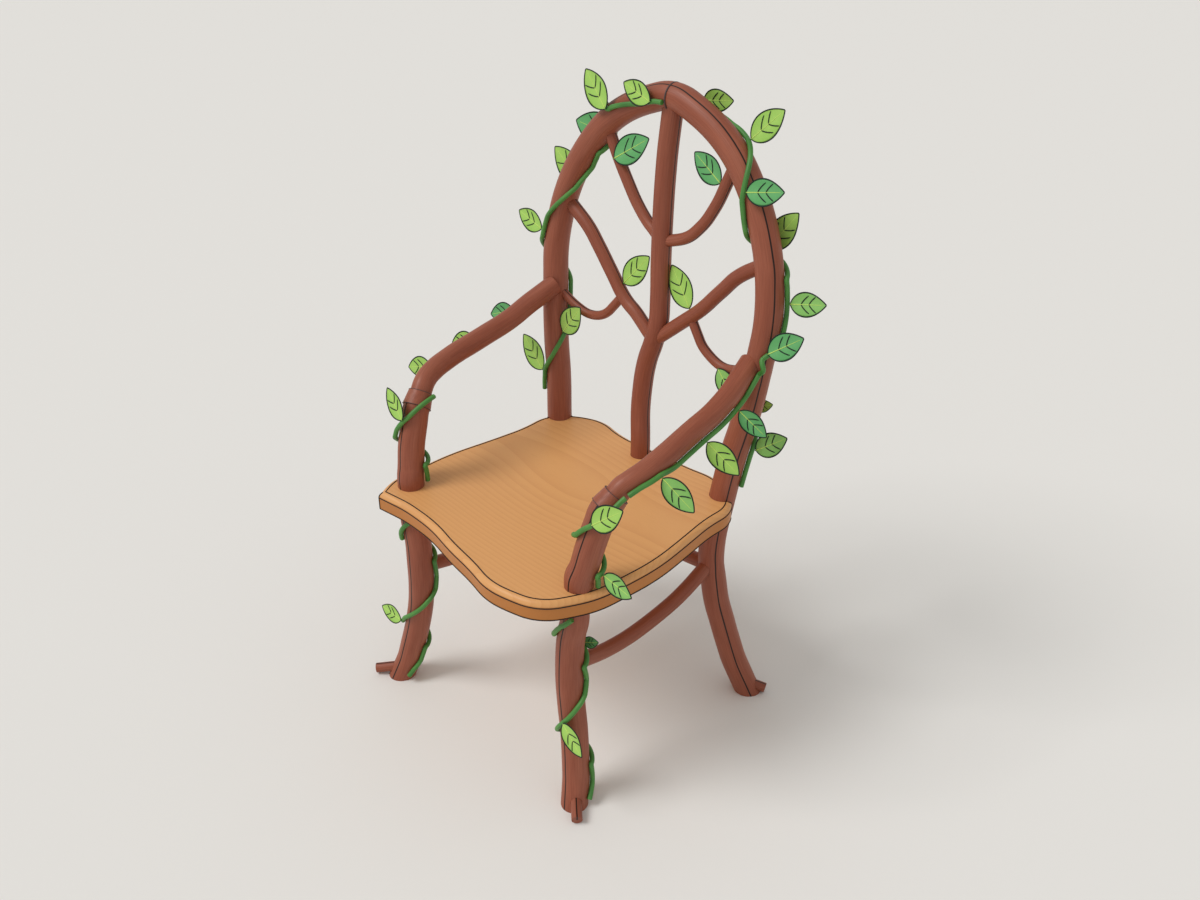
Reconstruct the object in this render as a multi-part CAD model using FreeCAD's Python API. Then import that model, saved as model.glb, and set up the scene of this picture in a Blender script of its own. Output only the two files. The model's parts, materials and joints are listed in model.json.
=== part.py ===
import FreeCAD, Part
import math
import os

# A rustic armchair of bent branches: a slab seat, an arched back with forking branches, and leafy vines.
# Lengths in millimetres, angles in degrees. The floor is Z = 0, the front faces -Y, and left and right
# are as seen by a person who stands in front of the chair.

# Seat slab
seatHeight = 450.0  # floor to the top face
seatThickness = 35.0
seatHalfWidth = 270.0
seatHalfDepth = 262.0
seatForward = 32.0  # the slab's centre lies this far in front of the origin
seatRoundOver = 11.0

# Round members
postDiameter = 50.0
armDiameter = 40.0
stemDiameter = 38.0
branchDiameter = 26.0
upperTwigDiameter = 22.0
lowerTwigDiameter = 18.0
stretcherDiameter = 28.0
vineDiameter = 9.0

# Arched back: two posts that rise from the floor and meet at the crown
hoopRise = 678.0  # seat top to the axis at the crown
hoopBulge = 43.0  # how far the arch swells beyond the posts' places at the seat
hoopLean = 80.0  # how far the crown leans back
rearSplaySide = 62.0
rearSplayBack = 29.0
frontSplaySide = 28.0
frontSplayFront = 44.0

# Branches inside the arch
stemSway = 20.0
forkHeight = 238.0  # above the seat, where the two main branches leave the stem
forkEndHeight = 449.0
twigStartHeight = 425.0
twigEndDrop = 74.0  # from the crown's axis down to the upper twigs' ends
loopEndHeight = 268.0
leftForkSag = 14.0
rightForkSag = 14.0
leftTwigSag = 26.0
rightTwigSag = 53.0
loopSag = 52.0

# Arms
armJointHeight = 153.0  # above the seat, where the rail meets its post
armJointSide = 23.5  # outward of the front post's place
armJointBack = 51.2  # behind the front post's place
armRearHeight = 276.0
armRearInset = 13.0  # from the back post's axis forward to the rail's end
armRearShift = 10.0  # from the back post's axis inward to the rail's axis
armBulge = 20.0
collarLength = 28.0
collarWall = 3.5
collarFlare = 4.0
spigotDiameter = 38.0

# Stretchers
sideStretcherFrontDrop = 176.0  # seat top to the stretcher's axis
sideStretcherRearDrop = 150.0
sideStretcherSag = 37.0
rearStretcherDrop = 162.0
rearStretcherSag = 12.0

# A front leg's top against the foot of the arm post over it
frontLegSetIn = 5.0
frontLegSetForward = 5.0

# Root pegs at the feet
rootPegDiameter = 20.0
frontPegReach = 57.0  # leg axis to the tip
rearPegReach = 41.0
frontPegAngle = 41.0  # from straight sideways
rearPegAngle = 27.0
rootPegHeight = 21.0
rootPegTipHeight = 10.7

# Joints
jointClearance = 0.3
socketDepth = 10.0
branchSocketDepth = 5.0
armSocketDepth = 14.0
stemSocketDepth = 10.0
stemSeatDepth = 18.0
frontTenonDiameter = 24.0
frontTenonLength = 57.0
crownDowelDiameter = 14.0
crownDowelLength = 64.0
armDowelDiameter = 12.0
armDowelLength = 26.0
overrun = 30.0  # how far a cutting solid runs past what it cuts

# Screws that hold the back posts to the seat and to the arms
screwDiameter = 5.0
screwHeadDiameter = 10.0
screwHeadHeight = 3.0
screwLength = 60.0
plugDepth = 7.0

# Leaves
leafLength = 78.0
leafWidth = 46.0
leafThickness = 1.6
leafVeinWidth = 1.6
leafVeinRise = 0.5
stalkDiameter = 3.0
stalkLength = 3.0

straightBendShare = 1e-4  # share of a run under which a bend counts as straight
axisSteps = 361
windingTurn = 15.0  # largest step of a vine round its host
windingShare = 0.012  # largest step of a vine along its host

vec = FreeCAD.Vector
up = vec(0, 0, 1)
front = vec(0, -1, 0)
sideways = vec(1, 0, 0)

frontPostSideShare = 0.826
frontPostForwardShare = 0.611
backPostSideShare = 0.804
backPostBackShare = 0.847

# Plan of the seat, from its one sharp corner at the front left; shares of the half width and half depth
seatOutlineShares = [
    (-0.905, -0.84),
    (-0.722, -0.821),
    (-0.474, -0.824),
    (0.06, -0.931),
    (0.522, -1.0),
    (0.789, -0.908),
    (0.93, -0.695),
    (1.011, -0.248),
    (0.967, 0.405),
    (0.885, 0.847),
    (0.722, 0.962),
    (0.285, 0.981),
    (-0.156, 0.969),
    (-0.6, 1.0),
    (-0.83, 0.836),
    (-0.892, 0.416),
    (-0.986, -0.351),
    (-0.945, -0.76),
    (-0.905, -0.84),
]

# Rear leg below the seat: sideways share, backward share, share of the seat height
rearLegShares = [
    (1.35, 1.35, -0.09),
    (0.68, 0.66, 0.133),
    (0.395, 0.38, 0.256),
    (0.21, 0.12, 0.362),
    (0.024, -0.09, 0.464),
    (-0.09, -0.22, 0.569),
    (-0.18, -0.34, 0.67),
    (-0.18, -0.34, 0.735),
]

# Arch above the seat: share of the half width at its widest, share of the rise
hoopShares = [
    (0.879, 0.135),
    (0.927, 0.23),
    (0.961, 0.325),
    (0.967, 0.35),
    (0.991, 0.45),
    (0.997, 0.475),
    (0.981, 0.587),
    (0.892, 0.712),
    (0.735, 0.822),
    (0.527, 0.911),
    (0.26, 0.972),
]

# Front leg: sideways share, forward share, share of the seat height
frontLegShares = [
    (1.36, 1.33, -0.09),
    (0.71, 0.75, 0.071),
    (0.32, 0.5, 0.187),
    (-0.07, 0.32, 0.304),
    (-0.43, 0.23, 0.424),
    (-0.6, 0.2, 0.536),
    (-0.6, 0.18, 0.642),
    (-0.52, 0.14, 0.742),
]

# Arm post: share of the way sideways, back and up from the seat to the rail's joint
armPostShares = [
    (0.23, 0.15, 0.25),
    (0.45, 0.32, 0.49),
    (0.64, 0.57, 0.73),
]

# Arm rail: share of the way back, of the way up, and of the bulge outward
armRailShares = [
    (0.096, 0.237, 0.7),
    (0.16, 0.296, 0.95),
    (0.266, 0.373, 1.05),
    (0.481, 0.502, 0.9),
    (0.7, 0.64, 0.75),
    (0.852, 0.815, 0.5),
]

# Stem in the plane of the arch: share of the sway, share of the rise
stemShares = [
    (0.45, 0.0),
    (-0.15, 0.164),
    (0.1, 0.288),
    (0.65, 0.351),
    (0.97, 0.413),
    (0.85, 0.469),
    (0.45, 0.577),
    (0.15, 0.684),
    (-0.05, 0.788),
    (-0.1, 0.891),
]

# Branches and twigs: share of the way from start to end, share of the sag
forkShares = {
    "left": [(0.17, 0.2), (0.32, 0.8), (0.475, 0.1), (0.61, -0.6), (0.73, -1.0), (0.88, -0.5)],
    "right": [(0.25, 0.1), (0.43, 0.14), (0.6, -0.5), (0.76, -1.0), (0.88, -0.6)],
}
twigShares = {
    "left": [(0.13, 0.35), (0.24, 0.7), (0.42, 1.0), (0.62, 0.9), (0.84, 0.5)],
    "right": [(0.2, 0.5), (0.36, 0.85), (0.56, 1.0), (0.74, 0.82), (0.88, 0.4)],
}
loopShares = {
    "left": [(0.18, 0.64), (0.34, 0.95), (0.48, 0.97), (0.70, 0.67), (0.83, 0.38)],
    "right": [(0.15, 0.64), (0.32, 0.95), (0.49, 1.0), (0.70, 0.73), (0.83, 0.42)],
}
forkSags = {"left": leftForkSag, "right": rightForkSag}
twigSags = {"left": leftTwigSag, "right": rightTwigSag}
loopForkShares = {"left": 0.31, "right": 0.33}
straightShare = 0.25  # straight runs at the arm post's foot and the rail's front, share of their diameter
armSlopeShares = (0.333, 0.385, 0.152)  # slope through the arm's joint, as shares of the joint's offsets
stretcherShares = [(0.15, 0.5), (0.36, 0.95), (0.57, 1.0), (0.76, 0.8), (0.89, 0.42)]
rearStretcherShares = [(0.2, 0.7), (0.5, 1.0), (0.8, 0.7)]

# What meets a back post or a front leg, as shares of the member's length as drawn. The stations of
# the vines are read between these marks.
postMarkShares = [0.27151, 0.38578, 0.59812, 0.73121, 0.86944]
legMarkShares = [0.69424]

# Vines: share of the carrying member's length, and angle round it from its front toward its outer side
archLeftShares = [
    (0.998, -9),
    (0.957, -6),
    (0.898, 24),
    (0.844, 262),
    (0.83, 282),
    (0.8, 268),
    (0.759, 300),
    (0.731, 336),
    (0.7, 375),
    (0.665, 395),
    (0.601, 574),
    (0.58, 590),
    (0.56, 597),
    (0.525, 633),
    (0.487, 693),
    (0.464, 738),
    (0.43, 765),
]
archRightShares = [
    (0.985, 178),
    (0.955, 182),
    (0.915, 162),
    (0.886, 130),
    (0.858, 75),
    (0.838, 36),
    (0.817, -3),
    (0.777, -45),
    (0.711, -250),
    (0.672, -236),
    (0.637, -262),
    (0.614, -318),
]
postRightShares = [(0.53, 215), (0.472, 120), (0.45, 121), (0.409, 108)]
armLeftShares = [
    (0.321, -96),
    (0.277, -54),
    (0.233, -10),
    (0.192, 24),
    (0.169, 34),
    (0.079, 257),
    (0.02, 235),
]
armRightShares = [
    (0.96, 106),
    (0.874, 124),
    (0.732, 130),
    (0.595, 131),
    (0.538, 128),
    (0.457, 91),
    (0.356, 72),
]
armPostRightShares = [
    (0.346, 61),
    (0.288, 57),
    (0.227, 18),
    (0.175, -25),
    (0.069, -262),
    (0.025, -242),
]
legLeftShares = [
    (0.945, -40),
    (0.881, 18),
    (0.842, 40),
    (0.731, 240),
    (0.65, 222),
    (0.6, 240),
    (0.558, 285),
    (0.496, 333),
    (0.43, 380),
    (0.385, 405),
    (0.285, 618),
    (0.219, 627),
    (0.173, 648),
    (0.135, 657),
]
legRightShares = [
    (0.969, 36),
    (0.919, -6),
    (0.842, -39),
    (0.708, -256),
    (0.63, -230),
    (0.573, -255),
    (0.535, -291),
    (0.488, -327),
    (0.412, -396),
    (0.258, -604),
    (0.185, -585),
    (0.12, -612),
]

leafOutlineShares = [(0.14, 0.32), (0.42, 0.5), (0.76, 0.31)]
leafStalkShare = 0.1
leafMidribShare = 0.9
leafVeinShares = [(0.3, 0.25), (0.52, 0.22)]
leafVeinAngle = 48.0
leafSlantShare = 0.3

# Leaves: what carries them, share of its length, angle above the rightward direction, size,
# place (1 in front of the carrier, -1 behind it, 0 beside it), backward lean, turn to the right, shade
leafPlaceShares = [
    ("vine_arch_left", 0.143, 136, 1.06, 1, 12, 0, "light"),
    ("vine_arch_left", 0.023, 162, 0.87, 1, 12, 0, "light"),
    ("vine_arch_left", 0.288, 173, 1.35, -1, 12, 0, "deep"),
    ("vine_arch_left", 0.565, 164, 0.89, 0, 12, 0, "light"),
    ("vine_arch_left", 0.842, 54, 1.05, 1, 0, 0, "light"),
    ("vine_arch_left", 0.958, 142, 1.07, 0, 12, 0, "light"),
    ("vine_arch_right", 0.026, 9, 0.82, -1, 0, 0, "light"),
    ("vine_arch_right", 0.252, 47, 1.0, 0, 12, 0, "light"),
    ("vine_arch_right", 0.41, 13, 0.95, 0, 12, 0, "deep"),
    ("vine_arch_right", 0.622, 58, 1.05, -1, 12, 0, "light"),
    ("vine_arch_right", 0.822, 15, 0.9, 0, 12, 0, "mid"),
    ("vine_arch_right", 0.975, 39, 0.99, 1, 12, 0, "deep"),
    ("back_post_left", 0.749, 146, 1.14, -1, 12, 0, "light"),
    ("upper_twig_left", 0.788, 34, 1.12, 1, 12, 0, "deep"),
    ("upper_twig_right", 0.81, 149, 0.96, 0, 12, 0, "deep"),
    ("main_branch_left", 0.365, 52, 1.03, 0, 12, 0, "light"),
    ("main_branch_right", 0.345, 131, 1.08, 0, 12, 0, "light"),
    ("lower_twig_right", 0.593, -43, 0.83, 1, 12, 0, "mid"),
    ("arm_rail_left", 0.766, -158, 0.85, 0, 12, 0, "deep"),
    ("arm_rail_left", 0.483, -153, 0.88, 0, 12, 0, "light"),
    ("arm_rail_left", 0.182, -160, 0.84, 0, 12, 0, "light"),
    ("vine_arm_left", 0.254, 138, 0.86, 1, 12, 0, "light"),
    ("vine_leg_left", 0.638, 177, 0.76, 1, 12, 0, "light"),
    ("vine_leg_right", 0.575, -35, 0.84, 1, 12, 0, "light"),
    ("vine_leg_right", 0.27, 26, 0.46, -1, 12, 0, "deep"),
    ("vine_arm_post_right", 0.87, -10, 0.82, 0, 12, 0, "mid"),
    ("vine_arm_post_right", 0.234, 41, 0.95, 1, 12, 0, "light"),
    ("vine_arm_right", 0.817, -37, 0.93, 0, 12, 20, "mid"),
    ("vine_arm_right", 0.463, -36, 0.94, 0, 12, 20, "light"),
    ("vine_arm_right", 0.206, -35, 0.8, 0, 12, 20, "deep"),
    ("vine_post_right", 0.58, 38, 0.93, 0, 12, 0, "mid"),
    ("vine_post_right", 0.102, 26, 0.5, -1, 12, 0, "light"),
]

backPostSide = seatHalfWidth * backPostSideShare
backPostBack = seatHalfDepth * backPostBackShare - seatForward
frontPostSide = seatHalfWidth * frontPostSideShare
frontPostFront = seatHalfDepth * frontPostForwardShare + seatForward
hoopHalfWidth = backPostSide + hoopBulge
collarRadius = spigotDiameter / 2 + jointClearance + collarWall + collarFlare
twigEndHeight = hoopRise - twigEndDrop
sideStretcherFrontHeight = seatHeight - sideStretcherFrontDrop
sideStretcherRearHeight = seatHeight - sideStretcherRearDrop
rearStretcherHeight = seatHeight - rearStretcherDrop
sides = {"left": -1, "right": 1}


def unit(direction):
    return direction * (1.0 / direction.Length)


def blend(start, end, share):
    return start + (end - start) * share


# A round bar through a point, from so far before it to so far after it
def rod(diameter, point, direction, before, after):
    return Part.makeCylinder(diameter / 2, before + after, point - direction * before, direction)


# One round bend from start to end, whose end tangents meet at the corner
def bend(start, corner, end):
    middle = (start + end) * 0.5
    lift = corner - middle
    halfChord = (end - start).Length / 2
    if lift.Length < halfChord * straightBendShare:
        return Part.LineSegment(start, end).toShape()
    cosine = halfChord / (corner - start).Length
    crest = middle + lift * (cosine / (1 + cosine))
    return Part.Arc(start, crest, end).toShape()


# Two arcs that leave the start and reach the end in the given directions
def bendPair(start, startDirection, end, endDirection):
    chord = end - start
    if (unit(chord) - startDirection).Length + (unit(chord) - endDirection).Length < straightBendShare:
        return [Part.LineSegment(start, end).toShape()]
    both = startDirection + endDirection
    spread = 2 * (1 - startDirection.dot(endDirection))
    along = chord.dot(both)
    if spread < straightBendShare * straightBendShare:
        reach = chord.dot(chord) / (2 * along)
    else:
        reach = (math.sqrt(along * along + spread * chord.dot(chord)) - along) / spread
    first = start + startDirection * reach
    last = end - endDirection * reach
    middle = (first + last) * 0.5
    return [bend(start, first, middle), bend(middle, last, end)]


# A smooth line through the points. An end with no direction of its own runs straight.
def smoothEdges(points, endDirection=None):
    directions = [unit(points[1] - points[0])]
    for before, here, after in zip(points, points[1:], points[2:]):
        back = here - before
        ahead = after - here
        directions.append(unit(back * (1 / back.dot(back)) + ahead * (1 / ahead.dot(ahead))))
    directions.append(endDirection or unit(points[-1] - points[-2]))
    directions[1] = directions[0]
    if endDirection is None:
        directions[-2] = directions[-1]
    edges = []
    for index in range(len(points) - 1):
        edges += bendPair(points[index], directions[index], points[index + 1], directions[index + 1])
    return edges


# A round member that follows a smooth line. Its skin closes along a seam on the given side.
class Branch:
    def __init__(self, points, diameter, seam, endDirection=None):
        self.radius = diameter / 2
        self.seam = seam
        self.wire = Part.Wire(smoothEdges(points, endDirection))
        self.start = points[0]
        self.end = points[-1]
        self.startDirection = unit(points[1] - points[0])
        self.endDirection = endDirection or unit(points[-1] - points[-2])
        self.axis = self.wire.discretize(axisSteps)
        self.marks = [(0, 0), (1, 1)]

    def tube(self, extra=0):
        ring = Part.Circle(self.start, self.startDirection, self.radius + extra)
        ring.XAxis = self.seam
        return self.wire.makePipeShell([Part.Wire([ring.toShape()])], True, False)

    def atShare(self, share):
        place = min(max(share, 0), 1) * (axisSteps - 1)
        index = min(int(place), axisSteps - 2)
        point = blend(self.axis[index], self.axis[index + 1], place - index)
        return point, unit(self.axis[index + 1] - self.axis[index])

    def shareAtHeight(self, height):
        for index, (lower, upper) in enumerate(zip(self.axis, self.axis[1:])):
            if lower.z <= height <= upper.z:
                return (index + (height - lower.z) / (upper.z - lower.z)) / (axisSteps - 1)

    def atHeight(self, height):
        return self.atShare(self.shareAtHeight(height))[0]

    # Marks along the member: what meets it there, as a share of its length as drawn and as it is
    def setMarks(self, drawnShares, heights):
        reached = [self.shareAtHeight(height) for height in heights]
        self.marks = list(zip([0] + drawnShares + [1], [0] + reached + [1]))

    # A station is a share of the member as drawn, and keeps its place between the marks
    def atStation(self, share):
        reached = share
        for (drawn, now), (nextDrawn, nextNow) in zip(self.marks, self.marks[1:]):
            if drawn <= share <= nextDrawn:
                reached = now + (nextNow - now) * (share - drawn) / (nextDrawn - drawn)
        return self.atShare(reached)

    # Room in the member that this one is let into
    def socket(self, atStart, depth):
        tip = self.start if atStart else self.end
        inward = self.startDirection if atStart else -self.endDirection
        room = self.radius * 2 + jointClearance * 2
        return rod(room, tip, inward, jointClearance, depth + overrun)


# The chair's pieces by name, and the room to be cut in them
class Assembly:
    def __init__(self):
        self.pieces = {}
        self.rooms = {}

    def add(self, node, *solids):
        self.pieces.setdefault(node, []).extend(solids)

    def carve(self, node, *rooms):
        self.rooms.setdefault(node, []).extend(rooms)

    # A member between two others, let into both
    def join(self, node, branch, startNode, endNode, depth):
        self.add(node, branch.tube())
        self.carve(startNode, branch.socket(True, depth))
        self.carve(endNode, branch.socket(False, depth))

    def shape(self, node):
        solids = self.pieces[node]
        for room in self.rooms.get(node, []):
            solids = [solid.cut(room) for solid in solids]
        return solids[0] if len(solids) == 1 else Part.makeCompound(solids)


# Points between two axes, each end drawn back from the axis so that it stops inside the member it joins
def between(start, end, shares, sag, startInset, endInset):
    points = [start]
    points += [blend(start, end, along) - up * (sag * drop) for along, drop in shares]
    points.append(end)
    points[0] = start + unit(points[1] - start) * startInset
    points[-1] = end + unit(points[-2] - end) * endInset
    return points


def backPlane(side, height):
    return vec(side, backPostBack + hoopLean * height / hoopRise, seatHeight + height)


def backPost(side):
    points = []
    for outward, back, height in rearLegShares:
        x = side * (backPostSide + rearSplaySide * outward)
        points.append(vec(x, backPostBack + rearSplayBack * back, seatHeight * height))
    points.append(backPlane(side * backPostSide, 0))
    points += [backPlane(side * hoopHalfWidth * wide, hoopRise * high) for wide, high in hoopShares]
    points.append(backPlane(0, hoopRise))
    return Branch(points, postDiameter, sideways * side, sideways * -side)


def frontLeg(side):
    points = []
    for outward, forward, height in frontLegShares:
        x = side * (frontPostSide + frontSplaySide * outward)
        points.append(vec(x, -frontPostFront - frontSplayFront * forward, seatHeight * height))
    top = vec(side * (frontPostSide - frontLegSetIn), -frontPostFront - frontLegSetForward, 0)
    top = top + up * (seatHeight - seatThickness)
    points.append(top - up * (postDiameter / 2))
    points.append(top)
    return Branch(points, postDiameter, sideways * side)


def armBase(side):
    return vec(side * frontPostSide, -frontPostFront, seatHeight)


# Where the arm post meets its rail, and the direction of the straight run through the joint
def armJoint(side):
    joint = armBase(side) + vec(side * armJointSide, armJointBack, armJointHeight)
    outward, back, rise = armSlopeShares
    return joint, unit(vec(side * armJointSide * outward, armJointBack * back, armJointHeight * rise))


def armRear(side, post):
    return post.atHeight(seatHeight + armRearHeight) - vec(side * armRearShift, armRearInset, 0)


def armPostPoints(side):
    base = armBase(side)
    run = armJoint(side)[0] - base
    return [base + vec(run.x * outward, run.y * back, run.z * high) for outward, back, high in armPostShares]


def armRailPoints(side, rear):
    joint = armJoint(side)[0]
    run = rear - joint
    points = []
    for back, high, outward in armRailShares:
        points.append(joint + vec(run.x * back + side * armBulge * outward, run.y * back, run.z * high))
    return points


def armPost(side):
    base = armBase(side)
    joint, direction = armJoint(side)
    points = [base, base + up * (postDiameter * straightShare)]
    points += armPostPoints(side)
    points.append(joint - direction * (collarLength / 2))
    return Branch(points, postDiameter, sideways * side, direction)


def armRail(side, post):
    joint, direction = armJoint(side)
    rear = armRear(side, post)
    start = joint + direction * (collarLength / 2)
    points = [start, start + direction * (armDiameter * straightShare)]
    points += armRailPoints(side, rear)
    points.append(rear)
    return Branch(points, armDiameter, sideways * side)


# The arm post's and the rail's axes as one line, for what winds along both
def armLine(side, post):
    joint, direction = armJoint(side)
    half = direction * (collarLength / 2)
    rear = armRear(side, post)
    points = [armBase(side)] + armPostPoints(side) + [joint - half, joint + half]
    points += armRailPoints(side, rear) + [rear]
    return Branch(points, armDiameter, sideways * side)


def stemBranch():
    points = [backPlane(stemSway * sway, hoopRise * high) for sway, high in stemShares]
    crown = backPlane(0, hoopRise)
    points[0] = points[0] - up * stemSeatDepth
    points.insert(1, points[0] + up * (stemSeatDepth * 2))
    points.append(crown - unit(crown - points[-1]) * (postDiameter / 2 - stemSocketDepth))
    return Branch(points, stemDiameter, -front)


def archBranch(start, hostDiameter, post, endHeight, shares, sag, diameter):
    end = post.atHeight(seatHeight + endHeight)
    startInset = hostDiameter / 2 - branchSocketDepth
    endInset = postDiameter / 2 - branchSocketDepth
    return Branch(between(start, end, shares, sag, startInset, endInset), diameter, -front)


# Points that wind round a member: each station is a share of the member's length and an angle
# round it, from its front toward its outer side
def windingPoints(host, side, reference, radius, stations):
    turns = []
    for (share, angle), (nextShare, nextAngle) in zip(stations, stations[1:]):
        turnSteps = abs(nextAngle - angle) / windingTurn
        steps = math.ceil(max(turnSteps, abs(nextShare - share) / windingShare))
        for step in range(steps):
            part = step / steps
            turns.append((share + (nextShare - share) * part, angle + (nextAngle - angle) * part))
    turns.append(stations[-1])
    points = []
    for share, angle in turns:
        centre, along = host.atStation(share)
        facing = unit(reference - along * reference.dot(along))
        outward = along.cross(facing) * side
        turn = math.radians(angle)
        points.append(centre + (facing * math.cos(turn) + outward * math.sin(turn)) * radius)
    return points


def vineOn(host, side, stations):
    radius = host.radius + jointClearance + vineDiameter / 2
    points = windingPoints(host, side, front, radius, stations)
    return Branch(points, vineDiameter, points[0] - host.atStation(stations[0][0])[0])


# A vine on the arm, wound at the radius of what it lies on: the rail, or the wider collar
def armVine(side, post, hostRadius, stations):
    line = armLine(side, post)
    radius = hostRadius + jointClearance + vineDiameter / 2
    points = windingPoints(line, side, unit(front + up), radius, stations)
    return Branch(points, vineDiameter, points[0] - line.atStation(stations[0][0])[0])


# A raised rib on the leaf's front face
def leafRib(along, reach, turn):
    depth = leafThickness / 2 + leafVeinRise
    rib = Part.makeBox(leafLength * reach, depth, leafVeinWidth, vec(0, -depth, -leafVeinWidth / 2))
    rib.rotate(vec(), front, turn)
    rib.translate(sideways * (stalkLength + leafLength * along))
    return rib


# A flat pointed leaf that stands in the XZ plane, its stalk at the origin and its tip toward +X
def leafShape():
    outline = []
    for side in (1, -1):
        points = [vec(stalkLength, 0, 0)]
        for along, wide in leafOutlineShares:
            points.append(vec(stalkLength + leafLength * along, 0, side * leafWidth * wide))
        points.append(vec(stalkLength + leafLength, 0, 0))
        curve = Part.BSplineCurve()
        curve.interpolate(points)
        outline.append(curve.toShape())
    blade = Part.Face(Part.Wire(outline)).extrude(front * leafThickness)
    blade.translate(front * (leafThickness / -2))
    ribs = [rod(stalkDiameter, vec(), sideways, 0, stalkLength + leafLength * leafStalkShare)]
    ribs.append(leafRib(0, leafMidribShare, 0))
    for along, reach in leafVeinShares:
        ribs += [leafRib(along, reach, turn) for turn in (leafVeinAngle, -leafVeinAngle)]
    return blade.fuse(ribs)


# One leaf on a round member, clear of its skin
def leafOn(member, share, angle, size, place, lean, turn, pattern):
    point, along = member.atShare(share)
    leaf = pattern.copy()
    leaf.scale(size)
    leaf.rotate(vec(), front, angle)
    leaf.rotate(vec(), sideways, -lean)
    leaf.rotate(vec(), up, turn)
    heading = leaf.Placement.Rotation.multVec(sideways)
    gap = member.radius + jointClearance
    stalk = size * stalkDiameter / 2
    if place:
        leaf.translate(point + front * (place * (gap + stalk) / math.sqrt(1 - along.y**2)))
        return leaf
    cosine = abs(heading.dot(along))
    sine = max(math.sqrt(1 - cosine * cosine), leafSlantShare)
    leaf.translate(point + heading * ((gap + stalk * cosine) / sine))
    return leaf


def outlineFace(height):
    points = []
    for wide, deep in seatOutlineShares:
        points.append(vec(seatHalfWidth * wide, seatHalfDepth * deep - seatForward, height))
    return Part.Face(Part.Wire(smoothEdges(points)))


def seatSlab():
    slab = outlineFace(seatHeight - seatThickness).extrude(up * seatThickness)
    rim = [edge for edge in slab.Edges if edge.BoundBox.ZMin > seatHeight - seatThickness / 2]
    return slab.makeFillet(seatRoundOver, rim)


# The stem stands in the seat and reaches the crown, where a dowel holds the arch's halves together
def addStemAndCrown(chair, stem):
    chair.add("back_stem", stem.tube())
    chair.carve("seat_board", stem.socket(True, stemSeatDepth))
    crown = backPlane(0, hoopRise)
    half = crownDowelLength / 2
    chair.add("crown_dowel", rod(crownDowelDiameter, crown, sideways, half, half))
    roomHalf = half + jointClearance
    room = rod(crownDowelDiameter + jointClearance * 2, crown, sideways, roomHalf, roomHalf)
    for name in sides:
        chair.carve("back_post_" + name, room, stem.socket(False, stemSocketDepth))


# The front leg, the arm post and the long tenon that goes through the seat into the leg
def addFrontPost(chair, name, side, leg, arm):
    tenonRoomDiameter = frontTenonDiameter + jointClearance * 2
    room = rod(tenonRoomDiameter, arm.start, up, frontTenonLength + jointClearance, 0)
    tenon = rod(frontTenonDiameter, arm.start, up, frontTenonLength, 0)
    joint, direction = armJoint(side)
    spigot = rod(spigotDiameter, joint, direction, collarLength / 2, 0)
    chair.add("front_leg_" + name, leg.tube())
    chair.add("arm_post_" + name, arm.tube().fuse([tenon, spigot]))
    chair.carve("seat_board", room)
    chair.carve("front_leg_" + name, room)


# The arm rail, the tapered collar round its joint and the dowel inside the joint
def addArmRail(chair, name, side, rail):
    joint, direction = armJoint(side)
    half = collarLength / 2
    bore = spigotDiameter / 2 + jointClearance
    narrow = collarRadius - collarFlare
    cone = Part.makeCone(collarRadius, narrow, collarLength, joint - direction * half, direction)
    chair.add("arm_collar_" + name, cone.cut(rod(bore * 2, joint, direction, half, half)))
    chair.add("arm_rail_" + name, rail.tube().fuse(rod(spigotDiameter, joint, direction, 0, half)))
    chair.carve("back_post_" + name, rail.socket(False, armSocketDepth))
    dowelHalf = armDowelLength / 2
    chair.add("arm_dowels", rod(armDowelDiameter, joint, direction, dowelHalf, dowelHalf))
    roomHalf = dowelHalf + jointClearance
    room = rod(armDowelDiameter + jointClearance * 2, joint, direction, roomHalf, roomHalf)
    chair.carve("arm_post_" + name, room)
    chair.carve("arm_rail_" + name, room)


# A countersunk screw under a wooden plug, driven inward through the back post at `skin`
def addScrew(chair, name, post, skin, inward, heldNode):
    headTop = skin + inward * plugDepth
    seat = headTop + inward * screwHeadHeight
    shank = rod(screwDiameter, seat, inward, 0, screwLength)
    chair.add("frame_screws", shank.fuse(rod(screwHeadDiameter, seat, inward, screwHeadHeight, 0)))
    plug = rod(screwHeadDiameter, headTop, inward, plugDepth + overrun, 0)
    chair.add("screw_plugs", plug.common(post.tube()))
    openDepth = screwHeadHeight + plugDepth + overrun
    counterbore = rod(screwHeadDiameter + jointClearance * 2, seat, inward, openDepth, 0)
    hole = rod(screwDiameter + jointClearance * 2, seat, inward, 0, screwLength + jointClearance)
    room = counterbore.fuse(hole)
    chair.carve("back_post_" + name, room)
    chair.carve(heldNode, room)


# The back post runs past the seat's corner and takes the arm rail's end
def addBackPost(chair, name, side, post, rail):
    chair.add("back_post_" + name, post.tube())
    chair.carve("seat_board", post.tube(jointClearance))
    seatward = unit(vec(-side, -1, 0))
    corner = post.atHeight(seatHeight - seatThickness / 2)
    addScrew(chair, name, post, corner - seatward * post.radius, seatward, "seat_board")
    railward = -rail.endDirection
    skin = rail.end - railward * (armRearInset + post.radius)
    addScrew(chair, name, post, skin, railward, "arm_rail_" + name)


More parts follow.
